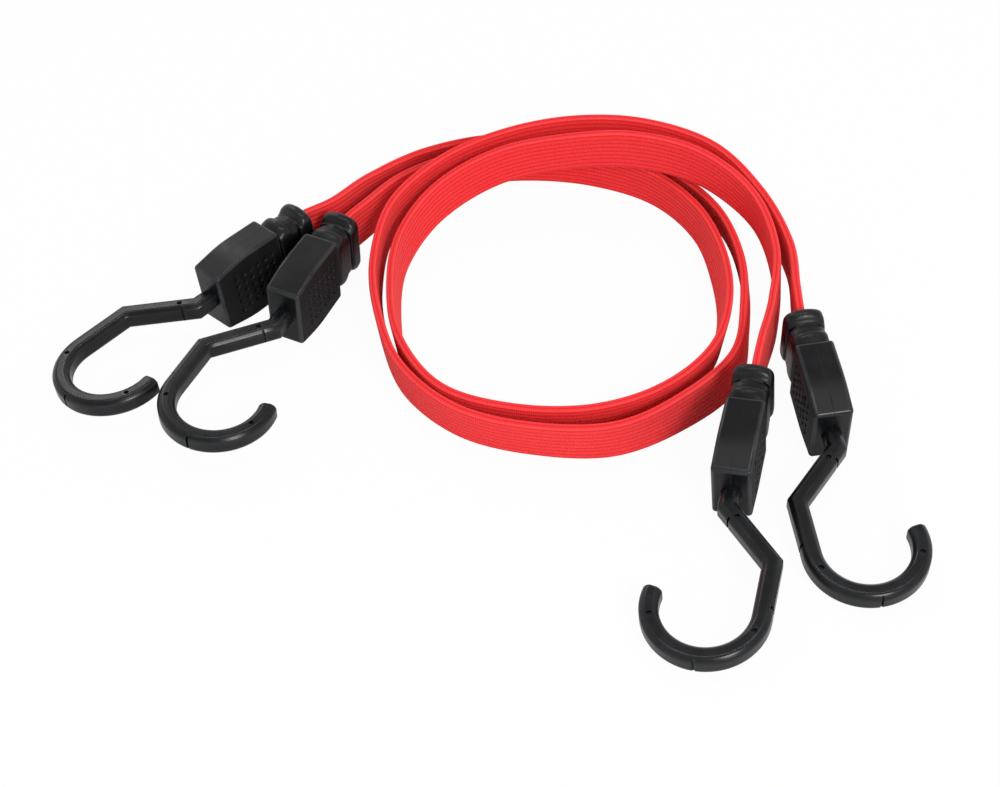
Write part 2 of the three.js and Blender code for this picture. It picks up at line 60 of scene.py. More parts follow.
camera_data = bpy.data.cameras.new("table_camera")
camera_data.sensor_fit = "HORIZONTAL"
camera_data.sensor_width = 36
camera_data.lens = 66.28
camera = bpy.data.objects.new("table_camera", camera_data)
camera.location = camera_place
camera.rotation_euler = (camera_target - camera_place).to_track_quat("-Z", "Y").to_euler()
bpy.context.scene.collection.objects.link(camera)
bpy.context.scene.camera = camera
bpy.context.scene.view_settings.view_transform = "Standard"
print("camera stands", round((camera_target - camera_place).length, 3), "m from the coil")

# %% [markdown]
# Every fitting is the same moulding, so it is modelled once, in millimetres, in a frame of
# its own: the origin at the middle of the neck face, +X out along the hook's turning axis,
# +Z up the broad side. A matrix for each fitting then lays it on the table. The fitting
# rests on the lower edge of its housing at its tallest place, and that sets its height.

# %% Where the four fittings lie
MM = 0.001
layout_middle = Vector((-9.094, -25.601, 0))
fittings = {
    "rear_left": {"x": -103.998, "y": 34.997, "yaw": -133, "pitch": -4, "roll": 4, "turn": 0},
    "front_left": {"x": -77, "y": 25, "yaw": -114.5, "pitch": -2, "roll": -1, "turn": 0},
    "front_right": {"x": 75, "y": -59, "yaw": -104.5, "pitch": -6.5, "roll": 5, "turn": 180},
    "rear_right": {"x": 111, "y": -32.5, "yaw": -82.5, "pitch": -7, "roll": 4, "turn": 0},
}

housing_length = 30.0
housing_half_y = 6.7
foot_edge = 1.0
neck_half_z = 11.8
bend_half_z = 14.1
collar_half_z = 13.5
bend_reach = 12.5


def fitting_matrix(place):
    """From a fitting's own frame to the table, both in millimetres."""
    tilted = (
        Matrix.Rotation(radians(place["yaw"]), 4, "Z")
        @ Matrix.Rotation(radians(-place["pitch"]), 4, "Y")
        @ Matrix.Rotation(radians(place["roll"]), 4, "X")
    )
    foot_y = housing_half_y - foot_edge
    feet = [tilted @ Vector((-bend_reach, side * foot_y, -bend_half_z)) for side in (-1, 1)]
    height = -min(foot.z for foot in feet)
    spot = Vector((place["x"], place["y"], height)) - layout_middle
    return Matrix.Translation(spot) @ tilted


matrices = {name: fitting_matrix(place) for name, place in fittings.items()}
for name, matrix in matrices.items():
    print(name, "neck at", [round(x, 1) for x in matrix.translation])

# %% [markdown]
# A flat cord of this kind is a knitted sleeve over rows of rubber threads. It is far
# stiffer across its width than across its thickness, so the pair stands on edge in its
# coil and leans a few degrees one way and the other. Its route is a list of points:
# place, height of the middle, and the lean of the width, in millimetres and
# degrees. The points between the fittings are free, and straight leads carry the strap
# through the boots.

# %% The straps' routes
strap_width = 18.0
strap_thickness = 3.0
strap_end = 14.4
lead_reaches = (strap_end, 30.0, 45.0)
curve_steps = 60
ring_step = 1.2

routes = {
    "rear": ("rear_left", "rear_right", [
        (-62, 78, 16, 0), (-50, 98.5, 12.5, -11), (-31, 118, 10, -19), (-6, 129, 9, -23),
        (21, 129, 9, -26), (47, 121, 9, -27), (69.5, 105.5, 9, -23), (84, 83, 9.5, -18),
        (89.5, 56, 9.5, -11), (88, 29, 9.5, -7), (82, 2.5, 9.5, -7), (63, -17.5, 9.5, 0),
        (39, -31, 9.5, 8), (11.5, -31, 9.5, 12), (-14, -22.5, 9.5, 12), (-33, -3, 9.5, 9),
        (-42, 22.5, 9.5, 8), (-45.5, 49.5, 11.5, 5), (-40.5, 76.5, 16.5, -2),
        (-22.5, 97, 21.5, -7), (2, 108, 26, -8), (28.5, 111.5, 29.5, -9),
        (55.5, 107.5, 31, -9), (81, 97.5, 27.5, -9), (97.5, 76.5, 22, -7),
        (105.5, 51, 19, -6), (105, 26.5, 20, -5),
    ]),
    "front": ("front_left", "front_right", [
        (-50.5, 78.5, 14.5, -2), (-37.5, 98.5, 12, -5), (-16.5, 114, 10, -7),
        (9.5, 118.5, 9.5, -10), (35.5, 115.5, 9.5, -9), (59, 104, 9.5, -9),
        (74.5, 83.5, 9.5, -4), (81, 57.5, 9.5, 5), (81, 31, 9.5, 7), (73, 6, 9.5, 7),
        (54.5, -13, 9.5, 9), (30.5, -22.5, 9.5, 12), (4, -22, 9.5, 12), (-19.5, -12.5, 9.5, 11),
        (-34, 10.5, 9.5, 9), (-38.5, 37, 9.5, 8), (-36.5, 63.5, 11.5, 5), (-23.5, 85.5, 17, 1),
        (-1.5, 98.5, 23.5, -6), (24.5, 101.5, 28.5, -10), (51, 99.5, 31, -8),
        (75.5, 90, 30, -8), (94, 73, 24, -8), (100, 48, 19.5, -5), (96.5, 21.5, 18, -7),
        (90, -1.5, 20, -6),
    ]),
}


def lead(name, lean_sign):
    """The straight points of a strap behind a fitting, from the clip outwards."""
    lean = lean_sign * fittings[name]["roll"]
    return [(*(matrices[name] @ Vector((-reach, 0, 0))), lean) for reach in lead_reaches]


def catmull_rom(points, steps):
    """A smooth curve through the rows of a table, which runs straight on past its ends."""
    ends = [2 * points[0] - points[1], *points, 2 * points[-1] - points[-2]]
    curve = []
    for before, here, there, after in zip(ends, ends[1:], ends[2:], ends[3:]):
        for t in np.arange(steps) / steps:
            linear = there - before
            square = 2 * before - 5 * here + 4 * there - after
            cube = 3 * here - before - 3 * there + after
            curve.append((2 * here + linear * t + square * t**2 + cube * t**3) / 2)
    return np.array([*curve, points[-1]])


def unit(rows):
    """Rows of numbers, each brought to a length of 1."""
    return rows / np.linalg.norm(rows, axis=-1, keepdims=True)


def strap_line(start, end, free):
    """How far along the strap each ring is, and its place and lean, at even steps."""
    shifted = [(x - layout_middle.x, y - layout_middle.y, z, lean) for x, y, z, lean in free]
    table = np.array([*lead(start, 1), *shifted, *reversed(lead(end, -1))], float)
    fine = catmull_rom(table, curve_steps)
    run = np.r_[0, np.cumsum(np.linalg.norm(np.diff(fine[:, :3], axis=0), axis=1))]
    even = np.linspace(0, run[-1], ceil(run[-1] / ring_step) + 1)
    return even, np.stack([np.interp(even, run, column) for column in fine.T], axis=1)


lines = {name: strap_line(*route) for name, route in routes.items()}
for name, (run, line) in lines.items():
    print(f"{name} strap: {run[-1]:.1f} mm in {len(line)} rings")

# %% [markdown]
# The sleeve is knitted in eight ribs across each broad side, and two round each edge. The
# ribs are real relief here and not only bump, because they break the outline and catch the
# light along the bends. The section starts as a rounded rectangle, is walked at even
# steps, and is pressed in between the ribs. Every second groove is a little deeper: the
# knit pairs its ribs. The grooves round the edges are deeper than those on the broad
# sides, because the sleeve is bent there.

# %% The strap's ribbed section
rib_count = 20
points_per_rib = 6
strap_edge = 1.05
groove_depth = 0.2
broad_share = 0.65
shallow_share = 0.7
crest_power = 0.7
edge_to_edge = rib_count / 2
edge_half_ribs = 1.5


def rounded_rectangle(half_x, half_y, radius, per_corner=12):
    """Corners of a rounded rectangle, counter-clockwise from the middle of the +X side."""
    points = [(half_x, 0.0)]
    for quarter, (sx, sy) in enumerate(((1, 1), (-1, 1), (-1, -1), (1, -1))):
        for step in range(per_corner + 1):
            angle = (quarter + step / per_corner) * pi / 2
            points.append((
                sx * (half_x - radius) + radius * cos(angle),
                sy * (half_y - radius) + radius * sin(angle),
            ))
    return np.array(points)


def walk(points, count):
    """The closed outline again, as evenly spaced points, with its length."""
    closed = np.vstack([points, points[:1]])
    run = np.r_[0, np.cumsum(np.linalg.norm(np.diff(closed, axis=0), axis=1))]
    even = np.arange(count) * run[-1] / count
    return np.stack([np.interp(even, run, column) for column in closed.T], axis=1), run[-1]


def strap_section():
    """The ribbed section: across the thickness, along the width."""
    plain = rounded_rectangle(strap_thickness / 2, strap_width / 2, strap_edge)
    outline, length = walk(plain, rib_count * points_per_rib)
    ahead = np.roll(outline, -1, axis=0) - np.roll(outline, 1, axis=0)
    outward = unit(np.stack([ahead[:, 1], -ahead[:, 0]], axis=1))
    rib = np.arange(len(outline)) / points_per_rib
    crest = np.abs(np.sin(pi * rib)) ** crest_power
    pair = np.where(np.round(rib).astype(int) % 2 == 0, 1.0, shallow_share)
    from_edge = np.abs(rib % edge_to_edge - edge_to_edge / 2)
    depth = groove_depth * pair * np.where(from_edge < edge_half_ribs, 1.0, broad_share)
    return outline - outward * (depth * (1 - crest))[:, None], length / rib_count


section, rib_pitch = strap_section()
print(f"a rib is {rib_pitch:.2f} mm wide, {len(section)} points round the section")

# %% [markdown]
# Most pieces here are lofts: rings of points along a line, with faces between them. These
# three helpers make such a mesh and put it in the scene. Shapes are thought out in
# millimetres, and become metres on their way into a mesh.

# %% Lofts and meshes
def loft_faces(rings, sides):
    """Four-sided faces between rings of points, with the first and last ring closed."""
    faces = []
    last = (rings - 1) * sides
    for here in range(0, last, sides):
        there = here + sides
        for side in range(sides):
            across = (side + 1) % sides
            faces.append((here + side, here + across, there + across, there + side))
    return [*faces, tuple(reversed(range(sides))), tuple(range(last, last + sides))]


def new_mesh(name, points, faces):
    """A smooth-shaded mesh with its normals facing out. Points are in millimetres."""
    mesh = bpy.data.meshes.new(name)
    mesh.from_pydata([tuple(MM * x for x in point) for point in points], [], faces)
    work = bmesh.new()
    work.from_mesh(mesh)
    bmesh.ops.recalc_face_normals(work, faces=work.faces)
    work.to_mesh(mesh)
    work.free()
    mesh.shade_smooth()
    return mesh


def new_object(name, mesh):
    """An object for a mesh or a lamp, linked into the scene."""
    made = bpy.data.objects.new(name, mesh)
    bpy.context.scene.collection.objects.link(made)
    return made

# %% [markdown]
# A strap is a loft: the same section set square to the route again and again. The corners
# of its faces carry a map, ribs round the strap and knit stitches along it, and the
# fabric's shader is drawn on that map.

# %% The two straps
stitch_pitch = 0.7


def strap_frames(line):
    """The strap's middle, and the directions of its thickness and width, at every ring."""
    middle = line[:, :3]
    along = unit(np.gradient(middle, axis=0))
    outward = unit(np.stack([-along[:, 1], along[:, 0], 0 * along[:, 0]], axis=1))
    up = np.cross(along, outward)
    lean = np.radians(line[:, 3:])
    thickness = np.cos(lean) * outward - np.sin(lean) * up
    width = np.cos(lean) * up + np.sin(lean) * outward
    return middle, thickness, width


def strap_mesh(name, run, line):
    """The strap as a loft, with its map of ribs and stitches."""
    middle, thickness, width = strap_frames(line)
    rings = (
        middle[:, None]
        + thickness[:, None] * section[None, :, :1]
        + width[:, None] * section[None, :, 1:]
    )
    sides = len(section)
    mesh = new_mesh(name, rings.reshape(-1, 3), loft_faces(len(rings), sides))
    knit = mesh.uv_layers.new(name="knit")
    for face in mesh.polygons:
        columns = [mesh.loops[corner].vertex_index % sides for corner in face.loop_indices]
        wraps = face.loop_total == 4 and max(columns) - min(columns) > 1
        for corner, column in zip(face.loop_indices, columns):
            ring = mesh.loops[corner].vertex_index // sides
            rib = (column + (sides if wraps and column == 0 else 0)) / points_per_rib
            knit.data[corner].uv = (rib, run[ring] / stitch_pitch)
    return mesh


straps = {}
for name, (run, line) in lines.items():
    strap = new_object(f"{name}_ribbed_strap", strap_mesh(f"{name}_ribbed_strap", run, line))
    start, end, _ = routes[name]
    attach(strap, "straps_and_housings")
    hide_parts(f"{name}_cord_strap")
    straps[name] = strap
    print(strap.name, len(strap.data.polygons), "faces")

# %% [markdown]
# Shaders are easier to read as sums than as piles of nodes. The class below wraps a node's
# output so that Python's own operators add the Math nodes, and one method makes every
# other node. Colours go through Mix nodes, because a Math node would turn them grey.

# %% Shader sums
class Signal:
    """A node's output that can stand in a Python sum."""

    def __init__(self, tree, socket):
        self.tree = tree
        self.socket = socket

    def node(self, kind, settings=None, inputs=None, output=0):
        """Any node: its settings first, then the values or links of its sockets."""
        made = self.tree.nodes.new(kind)
        for key, value in (settings or {}).items():
            setattr(made, key, value)
        for key, value in (inputs or {}).items():
            socket = made.inputs[key]
            if isinstance(value, Signal):
                self.tree.links.new(value.socket, socket)
            else:
                socket.default_value = value
        return Signal(self.tree, made.outputs[output])

    def beside(self, output):
        """Another output of the same node."""
        return Signal(self.tree, self.socket.node.outputs[output])

    def math(self, operation, *values):
        """A Math node on these values, in the order of its sockets."""
        inputs = dict(enumerate(values))
        return self.node("ShaderNodeMath", {"operation": operation}, inputs)

    def __add__(self, other):
        return self.math("ADD", self, other)

    def __sub__(self, other):
        return self.math("SUBTRACT", self, other)

    def __rsub__(self, other):
        return self.math("SUBTRACT", other, self)

    def __mul__(self, other):
        return self.math("MULTIPLY", self, other)

    def __pow__(self, other):
        return self.math("POWER", self, other)

    __radd__ = __add__
    __rmul__ = __mul__

    def part(self):
        """What is left over a whole number."""
        return self.math("FRACT", self)

    def size(self):
        """The number without its sign."""
        return self.math("ABSOLUTE", self)

    def wave(self):
        """A smooth 0 to 1 wave that repeats with every whole number."""
        return 0.5 + 0.5 * self.math("SINE", 2 * pi * self)

    def between(self, low, high):
        """0 up to low, 1 from high on, and a smooth step between."""
        settings = {"interpolation_type": "SMOOTHSTEP"}
        return self.node("ShaderNodeMapRange", settings, {0: self, 1: low, 2: high})

    def noise(self, scale, detail, roughness=0.5):
        """Noise on this vector, as a number about 0.5."""
        inputs = {"Vector": self, "Scale": scale, "Detail": detail, "Roughness": roughness}
        return self.node("ShaderNodeTexNoise", None, inputs)

    def tint(self, low, high):
        """This number picks a colour between two."""
        # A Mix node has its sockets once for each data type. These are the colour ones.
        inputs = {0: self, 6: low, 7: high}
        return self.node("ShaderNodeMix", {"data_type": "RGBA"}, inputs, output=2)

    def bump(self, distance, strength, below=None):
        """Relief of this height, in metres, on top of another relief."""
        inputs = {"Height": self, "Distance": distance, "Strength": strength}
        if below is not None:
            inputs["Normal"] = below
        return self.node("ShaderNodeBump", None, inputs)


def srgb(red, green, blue):
    """A colour of the screen, 0 to 255, as the linear colour that a shader takes."""
    def linear(value):
        share = value / 255
        return share / 12.92 if share <= 0.04045 else ((share + 0.055) / 1.055) ** 2.4
    return (linear(red), linear(green), linear(blue), 1.0)


def new_finish(name, **plain):
    """A material with its Principled shader, and a Signal to build its pattern with."""
    material = bpy.data.materials.new(name)
    material.use_nodes = True
    shader = material.node_tree.nodes["Principled BSDF"]
    for key, value in plain.items():
        shader.inputs[key.replace("_", " ")].default_value = value
    return material, shader, Signal(material.node_tree, None)


def feed(shader, **signals):
    """Links patterns to the shader's sockets."""
    for key, signal in signals.items():
        signal.tree.links.new(signal.socket, shader.inputs[key.replace("_", " ")])

# %% [markdown]
# The elastic is polyester yarn: matt, strongly red, a little fuzzy, so it has sheen and
# hardly any gloss. Across the map every rib is one unit wide. Each stitch is a short
# slanting tick, and the slant turns round from rib to rib, which gives the herringbone
# look of a knitted strap. The colour has painted shade down in the grooves, a painted
# highlight on the crests and stitches, and a brighter painted highlight along each corner.

# %% Elastic fabric
elastic, elastic_shader, pen = new_finish(
    "red_elastic", Roughness=0.8, Specular_IOR_Level=0.2, Sheen_Weight=0.2,
    Sheen_Roughness=0.4, Sheen_Tint=srgb(255, 150, 140))

tick_slant = 0.55
tick_wander = 0.5
corner_rib = 0.63
stitch_height = 0.00022
fibre_height = 0.00001

knit_map = pen.node("ShaderNodeUVMap", {"uv_map": "knit"})
rib = pen.node("ShaderNodeSeparateXYZ", None, {0: knit_map})
stitch = rib.beside(1)

across = rib.part() - 0.5
crest = 1 - (2 * across.size()) ** 2
odd_rib = 2 * (rib * 0.5).part().between(0.499, 0.501) - 1
wander = knit_map.noise(0.35, 2.0) - 0.5
tick = (stitch + tick_slant * across * odd_rib + tick_wander * wander).wave()
stitch_relief = crest * tick

from_edge = ((rib * (1 / edge_to_edge)).part() - 0.5).size() * edge_to_edge
# Painted highlight: a paler line along each rounded corner of the strap.
painted_corner_highlight = 1 - (from_edge - corner_rib).size().between(0.05, 0.26)
fibre = knit_map.noise(9.0, 4.0, 0.7)
# Painted shade: the red darkens down in the grooves and lightens on the crests and stitch tops,
# following the relief, with a little random fibre tone.
painted_groove_shade_and_fibre_tone = (0.4 * tick * crest + 0.7 * crest + 0.1 * (fibre - 0.5)).between(-0.1, 0.85)
worn = pen.node("ShaderNodeTexCoord", output="Object").noise(45.0, 3.0)
red_in_painted_groove_shade = srgb(206, 28, 36)
red_mid = srgb(246, 56, 60)
red_wear_and_painted_highlight = srgb(255, 104, 98)
colour = painted_groove_shade_and_fibre_tone.tint(red_in_painted_groove_shade, red_mid)
# Painted highlight on the raised stitches and along the corners, mixed with random pale wear.
wear_and_painted_highlight = 0.35 * stitch_relief * fibre + 0.3 * (worn - 0.5) + 0.25 * painted_corner_highlight
colour = wear_and_painted_highlight.between(0.0, 1.0).tint(colour, red_wear_and_painted_highlight)
feed(
    elastic_shader,
    Base_Color=colour,
    Roughness=0.72 + 0.2 * fibre,
    Normal=fibre.bump(fibre_height, 0.5, below=stitch_relief.bump(stitch_height, 0.8)),
)
for strap in straps.values():
    strap.data.materials.append(elastic)
print("elastic:", len(elastic.node_tree.nodes), "nodes")

# %% [markdown]
# The black parts are three plastics that look alike until the light rakes over them. The
# hook and the housing are hard nylon, glossier along the edges, which also get a painted
# highlight, and the housing's broad sides have the matt grain of a spark-eroded mould. The
# boot is softer, with a dusty bloom. One function makes all three from a few numbers: gloss,
# size and depth of the grain, and how strong the edges' gloss and painted highlight are.

# %% Moulded plastics
mottle_scale = 90.0
smear_scale = 260.0
smooth_grain = 0.15


def moulded(name, dark, pale, roughness, grain, grain_depth, bloom, edge_highlight_strength, **plain):
    """A black plastic: mottled colour, uneven gloss, fine grain, glossier edges with a painted
    highlight.
    """
    material, shader, pen = new_finish(name, **plain)
    place = pen.node("ShaderNodeTexCoord", output="Object")
    mottle = place.noise(mottle_scale, 4.0, 0.6)
    smear = place.noise(smear_scale, 2.0)
    speck = place.noise(grain, 3.0, 0.6)
    edge = pen.node("ShaderNodeAttribute", {"attribute_name": "edge_highlight_and_gloss"}, output="Fac")
    matt = pen.node("ShaderNodeAttribute", {"attribute_name": "matt"}, output="Fac")
    # Painted highlight: the edge share paints the rounded edges paler, where light would catch
    # them, and also makes them glossier.
    edge_highlight_and_gloss = edge_highlight_strength * edge * (0.5 + 0.5 * mottle.between(0.3, 0.6))
    dust = mottle.between(0.45, 0.75) * bloom
    rougher = 0.35 * matt - 0.16 * edge_highlight_and_gloss + 0.14 * (mottle - 0.5) + 0.08 * (smear - 0.5)
    feed(
        shader,
        # The colour is the dust bloom plus the painted edge highlight.
        Base_Color=(dust + 0.5 * edge_highlight_and_gloss).tint(dark, pale),
        Roughness=roughness + rougher,
        Normal=(speck * (smooth_grain + (1 - smooth_grain) * matt)).bump(grain_depth, 0.6),
    )
    return material


hook_plastic = moulded(
    "hook_nylon", dark=srgb(11, 12, 14), pale=srgb(60, 61, 64), roughness=0.3,
    grain=1500.0, grain_depth=0.00001, bloom=0.12, edge_highlight_strength=0.5, Specular_IOR_Level=0.26)
housing_plastic = moulded(
    "housing_nylon", dark=srgb(8, 9, 11), pale=srgb(66, 67, 70), roughness=0.36,
    grain=2200.0, grain_depth=0.00003, bloom=0.08, edge_highlight_strength=1.0, Specular_IOR_Level=0.23)
boot_rubber = moulded(
    "boot_rubber", dark=srgb(11, 11, 13), pale=srgb(50, 50, 54), roughness=0.36,
    grain=1300.0, grain_depth=0.00001, bloom=0.2, edge_highlight_strength=0.3, Specular_IOR_Level=0.28)
print("plastics:", hook_plastic.name, housing_plastic.name, boot_rubber.name)

# %% [markdown]
# The steel is drawn wire and pressed sheet: grey, fairly glossy, with fine level scratches
# and a few dull spots. It is all inside the mouldings, but it is finished like the rest,
# because a part may be opened or looked at from its end.

# %% Steel
steel_pale = srgb(196, 198, 200)
steel_dull = srgb(120, 118, 114)
scratch_depth = 0.00001
scratch_shape = (1.0, 1.0, 9.0)

steel, steel_shader, pen = new_finish("drawn_steel", Metallic=1.0)
place = pen.node("ShaderNodeTexCoord", output="Object")
stretched = pen.node("ShaderNodeMapping", None, {"Vector": place, "Scale": scratch_shape})
scratch = stretched.noise(900.0, 4.0, 0.7)
spot = place.noise(220.0, 3.0).between(0.5, 0.7)
feed(
    steel_shader,
    Base_Color=(0.5 * spot + 0.3 * scratch).tint(steel_pale, steel_dull),
    Roughness=0.28 + 0.2 * scratch + 0.2 * spot,
    Normal=scratch.bump(scratch_depth, 0.4),
)
steel_nodes = [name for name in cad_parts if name.endswith(("_wire", "_stop", "_clip"))]
for name in steel_nodes:
    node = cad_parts[name]
    node.data.materials.clear()
    node.data.materials.append(steel)
print("steel pieces:", len(steel_nodes))

# %% [markdown]
# A housing is two shells that snap together round the hook's neck and the boot's flange.
# Its outline has six sides, tallest a little nearer to the neck than its middle. The block
# is a prism whose outer edges are bevelled. Rooms for what it holds are then cut out of
# it, and so are the grip dots, round dimples that a thumb finds in the dark. A hair's
# breadth is left between the shells, and its small bevel draws the parting line. First
# come the tools: a box, a turned body, and the cut itself, which is a boolean modifier that
# is applied at once.

# %% Tools for cutting
box_faces = [(0, 1, 3, 2), (4, 6, 7, 5), (0, 4, 5, 1), (2, 3, 7, 6), (0, 2, 6, 4), (1, 5, 7, 3)]


def around(count):
    """Even angles round a circle."""
    return 2 * pi * np.arange(count) / count


def block(start, end, half_y, half_z):
    """A box between two distances behind the neck face: its corners and its faces."""
    corners = [
        (-x, y * half_y, z * half_z)
        for x in (start, end) for y in (-1, 1) for z in (-1, 1)
    ]
    return corners, box_faces


def turned(stations, sides=32):
    """A round body along X from pairs of x and radius, in millimetres."""
    points = [(x, r * cos(a), r * sin(a)) for x, r in stations for a in around(sides)]
    return points, loft_faces(len(stations), sides)


def cut(mesh, *shapes):
    """The mesh with these shapes taken out of it, one after another."""
    for points, faces in shapes:
        body = new_object("body", mesh)
        tool = new_object("tool", new_mesh("tool", points, faces))
        boolean = body.modifiers.new("cut", "BOOLEAN")
        boolean.operation = "DIFFERENCE"
        boolean.solver = "EXACT"
        boolean.object = tool
        view = bpy.context.evaluated_depsgraph_get()
        mesh = bpy.data.meshes.new_from_object(body.evaluated_get(view))
        bpy.data.objects.remove(body)
        bpy.data.objects.remove(tool)
    return mesh

# %% [markdown]
# The dots stand in six columns of five, but the two at the ends of the first column are
# short slots. All of a side go into one cutting shape, because they don't touch each other.

# %% The housing's grip dots
dot_columns = 6
dot_rows = 5
dot_sides = 12
dot_radius = 0.92
dot_depth = 0.6
dot_pitch_along = 3.4
dot_pitch_across = 3.45
dot_reach = 8.1
slot_half_length = 0.65


def dimple(x, z, side, stretch):
    """A round dimple in a broad side: its rings run from above the face down to its floor.

    Each ring has a height over the face, and a share of the radius.
    """
    rings = [(0.4, 1.5), (0.0, 1.14), (-0.16, 0.9), (-0.45, 0.8), (-dot_depth, 0.5)]
    points = []
    for height, share in rings:
        for angle in around(dot_sides):
            shift = stretch * (1 if sin(angle) > 0 else -1)
            points.append((
                x + dot_radius * share * cos(angle),
                side * (housing_half_y + height),
                z + dot_radius * share * sin(angle) + shift,
            ))
    return points, loft_faces(len(rings), dot_sides)


def grip_dots(side):
    """All dots of one broad side as one shape."""
    points, faces = [], []
    for column in range(dot_columns):
        for row in range(dot_rows):
            at_end = column == 0 and row in (0, dot_rows - 1)
            stretch = slot_half_length if at_end else 0.0
            x = -dot_reach - column * dot_pitch_along
            z = (row - dot_rows // 2) * dot_pitch_across
            more_points, more_faces = dimple(x, z, side, stretch)
            faces += [tuple(len(points) + corner for corner in face) for face in more_faces]
            points += more_points
    return points, faces


print("grip dots:", dot_columns * dot_rows, "on each broad side")

# %% [markdown]
# The block of one shell starts from its outline in the X and Z directions. The corner at
# its tallest place is moulded round, so it becomes a short curve.

# %% The housing's block
seam = 0.01
seam_bevel = 0.06
housing_edge = 1.3
edge_steps = 6
edge_from = radians(30)
bend_softness = 4.5


def soft_corner(before, here, after, tangent, steps=6):
    """Points round a corner of an outline, from this far before it to as far after it."""
    before, here, after = (np.array(point, float) for point in (before, here, after))
    start, end = here + unit(before - here) * tangent, here + unit(after - here) * tangent
    return [
        (1 - t) ** 2 * start + 2 * t * (1 - t) * here + t**2 * end
        for t in np.linspace(0, 1, steps + 1)
    ]


def housing_block(side):
    """One shell as a solid block with rounded edges."""
    top = [(0, neck_half_z), (-bend_reach, bend_half_z), (-housing_length, collar_half_z)]
    top[1:2] = soft_corner(*top, bend_softness)
    outline = [(x, z) for x, z in top] + [(x, -z) for x, z in reversed(top)]
    work = bmesh.new()
    inner = [work.verts.new((x, side * seam, z)) for x, z in outline]
    outer = [work.verts.new((x, side * housing_half_y, z)) for x, z in outline]
    work.faces.new(inner)
    work.faces.new(outer[::-1])
    for i in range(len(outline)):
        j = (i + 1) % len(outline)
        work.faces.new((inner[j], inner[i], outer[i], outer[j]))
    bmesh.ops.recalc_face_normals(work, faces=work.faces)
    rounded = [
        edge for edge in work.edges
        if any(abs(v.co.y) > 2 * seam for v in edge.verts)
        and edge.calc_face_angle() > edge_from
    ]
    bmesh.ops.bevel(
        work, geom=rounded, offset=housing_edge, segments=edge_steps, profile=0.5,
        affect="EDGES")
    parting = [edge for edge in work.edges if all(abs(v.co.y) < 2 * seam for v in edge.verts)]
    bmesh.ops.bevel(work, geom=parting, offset=seam_bevel, segments=1, affect="EDGES")
    bmesh.ops.scale(work, vec=(MM, MM, MM), verts=work.verts)
    mesh = bpy.data.meshes.new("housing_block")
    work.to_mesh(mesh)
    work.free()
    return mesh

# %% [markdown]
# The edges of the black plastic get a painted highlight and a glossier finish, while its
# broad sides keep the dull grain of the mould. A shader can't tell an edge from a flat
# place by itself, so the mesh tells it: each face gets a number for the painted edge
# highlight and one for the dull grain.

# %% Marks for the painted edge highlight and grain
# How sharply an edge must bend before it gets the painted highlight, and over what span the
# highlight grows to full.
edge_highlight_start = 0.15
edge_highlight_span = 0.5
flat_side = 0.95
broad_side = 0.9


def mark_edges(mesh):
    """Each face's share of the painted edge highlight and gloss, from how sharply it bends
    outwards, in radians per mm.

    The broad sides, which face along Y, have none.
    """
    work = bmesh.new()
    work.from_mesh(mesh)
    edge_highlight_strength = []
    for face in work.faces:
        bend = sum(edge.calc_face_angle_signed(0.0) * edge.calc_length() for edge in face.edges)
        curve = MM * bend / max(2 * face.calc_area(), MM**3)
        share = min(max(curve - edge_highlight_start, 0.0) / edge_highlight_span, 1.0)
        # Painted highlight: faces that bend outwards get a share, which the shaders paint paler
        # and make glossier.
        edge_highlight_strength.append(share if abs(face.normal.y) < flat_side else 0.0)
    work.free()
    mesh.attributes.new("edge_highlight_and_gloss", "FLOAT", "FACE").data.foreach_set("value", edge_highlight_strength)


def mark_sides(mesh):
    """The broad sides, which are matt because the mould was eroded there."""
    matt = [float(abs(face.normal.y) > broad_side) for face in mesh.polygons]
    mesh.attributes.new("matt", "FLOAT", "FACE").data.foreach_set("value", matt)


def finish_mesh(mesh, crease):
    """Smooth shading up to this angle in degrees, and the marks for the painted edge highlight.
    """
    mesh.shade_smooth()
    mesh.set_sharp_from_angle(angle=radians(crease))
    mark_edges(mesh)

# %% [markdown]
# The rooms follow what lies in them, from the neck backwards: the hook's neck and its stop,
# the clip on the strap's end, a slot for the strap, the boot's flange and the boot's tongue.

# %% The housing's shells
neck_depth = 4.0
neck_and_stop_room = turned([
    (1, 3.6), (0.0, 3.5), (-0.1, 3.4), (-neck_depth, 3.4), (-neck_depth, 4.9), (-10.8, 4.9)])
clip_room = block(12.8, 22.6, 3.1, 10.2)
strap_room = block(22.5, 24.9, 1.8, 9.3)
flange_room = block(24.8, 27.4, 5.1, 11.7)
tongue_room = block(27.3, 31.0, 3.9, 10.5)
rooms = [neck_and_stop_room, clip_room, strap_room, flange_room, tongue_room]


def housing_shell(side):
    """One shell with its rooms and dots, worn and matt where it should be."""
    mesh = cut(housing_block(side), *rooms, grip_dots(side))
    finish_mesh(mesh, crease=40)
    mark_sides(mesh)
    return mesh


shells = {"a": housing_shell(1), "b": housing_shell(-1)}
print("housing shells:", [len(mesh.polygons) for mesh in shells.values()], "faces")

# %% [markdown]
# A piece is laid in place by its fitting's matrix, rides on a body, stands for its packed
# solid and takes that solid's finish. Weighted normals keep the broad faces flat where
# they meet a rounded edge.

# %% Placing a piece
def place_piece(name, mesh, matrix, body, node, material, turn=0):
    """A copy of the mesh at its fitting, turned about the neck by some degrees."""
    place = matrix @ Matrix.Rotation(radians(turn), 4, "X")
    place.translation *= MM
    made = new_object(name, mesh.copy())
    made.data.transform(place)
    made.data.materials.clear()
    made.data.materials.append(material)
    even = made.modifiers.new("even_normals", "WEIGHTED_NORMAL")
    even.keep_sharp = True
    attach(made, body)
    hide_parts(node)


